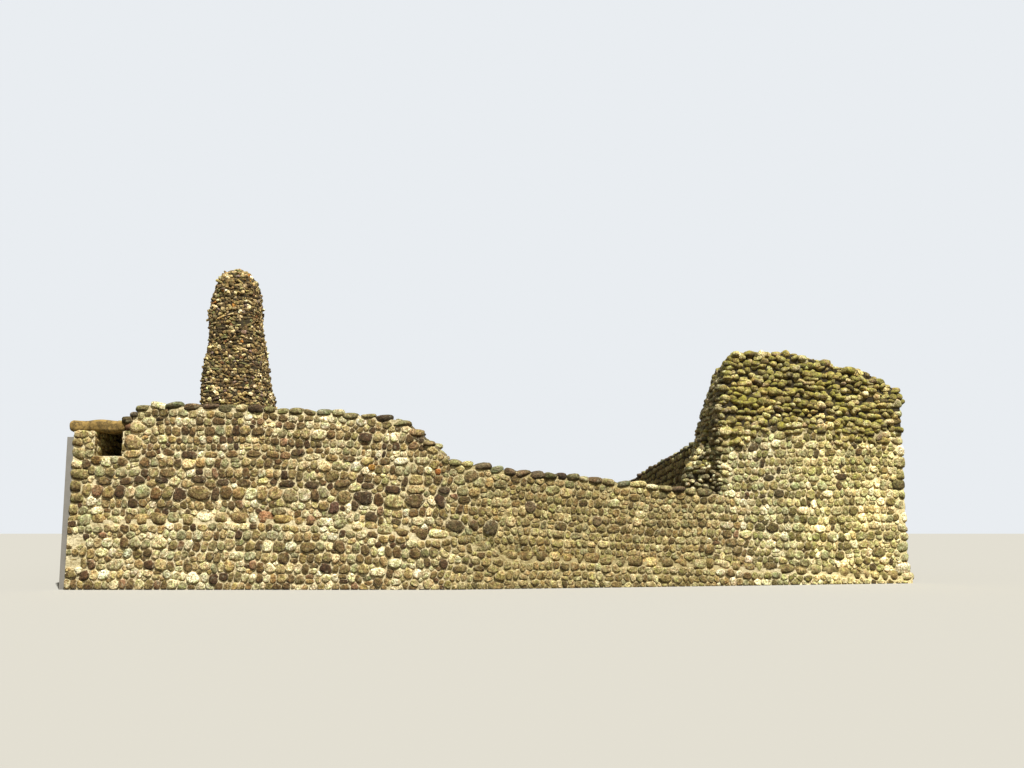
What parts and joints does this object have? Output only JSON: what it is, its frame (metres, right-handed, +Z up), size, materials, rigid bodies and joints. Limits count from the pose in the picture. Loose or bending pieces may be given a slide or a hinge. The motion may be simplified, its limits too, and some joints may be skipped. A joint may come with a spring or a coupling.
{
  "type": "ruined castle keep",
  "caption": "Ruined keep of rounded fieldstones in lime mortar: bent front wall, window slot, slender pillar, broken corner mass, open yard within closed walls.",
  "frame": {"origin": "centre of the keep's plan, at the lowest ground", "axes": "+Z up, +X along the front wall's west leg towards the corner mass, -Y towards the viewer"},
  "size_m": [13.7327, 9.7, 6.55],
  "materials": {
    "fieldstone_masonry": "matte",
    "coping_fieldstone": "matte",
    "weathered_rubble": "matte",
    "footing_rubble": "matte",
    "yellow_brown_sandstone": "matte",
    "galvanised_steel": "satin"
  },
  "bodies": {
    "root": {"footing_front_west": "footing_rubble", "footing_front_east": "footing_rubble", "footing_east": "footing_rubble", "footing_back": "footing_rubble", "footing_west": "footing_rubble", "corner_pier": "fieldstone_masonry", "window_breast": "fieldstone_masonry", "window_lintel_outer": "yellow_brown_sandstone", "window_lintel_inner": "fieldstone_masonry", "front_wall_high": "fieldstone_masonry", "front_wall_steps": "fieldstone_masonry", "front_wall_low_west": "fieldstone_masonry", "front_wall_low_east": "fieldstone_masonry", "front_coping_high": "coping_fieldstone", "front_coping_steps": "coping_fieldstone", "front_coping_low": "coping_fieldstone", "stub_foot": "fieldstone_masonry", "stub_body": "weathered_rubble", "stub_head": "weathered_rubble", "corner_mass": "fieldstone_masonry", "corner_crown": "weathered_rubble", "corner_return": "weathered_rubble", "east_wall_near": "fieldstone_masonry", "east_wall_far": "fieldstone_masonry", "east_coping": "coping_fieldstone", "back_wall_east": "fieldstone_masonry", "back_wall_rise": "fieldstone_masonry", "back_wall_west": "fieldstone_masonry", "back_coping_east": "coping_fieldstone", "back_coping_rise": "coping_fieldstone", "back_coping_west": "coping_fieldstone", "west_wall_back": "fieldstone_masonry", "west_wall_pillar": "fieldstone_masonry", "west_wall_shoulder": "fieldstone_masonry", "west_wall_low": "fieldstone_masonry", "west_coping_back": "coping_fieldstone", "west_coping_low": "coping_fieldstone", "pillar_foot": "weathered_rubble", "pillar_shaft": "weathered_rubble", "pillar_head": "weathered_rubble", "steel_post": "galvanised_steel"}
  },
  "joints": []
}
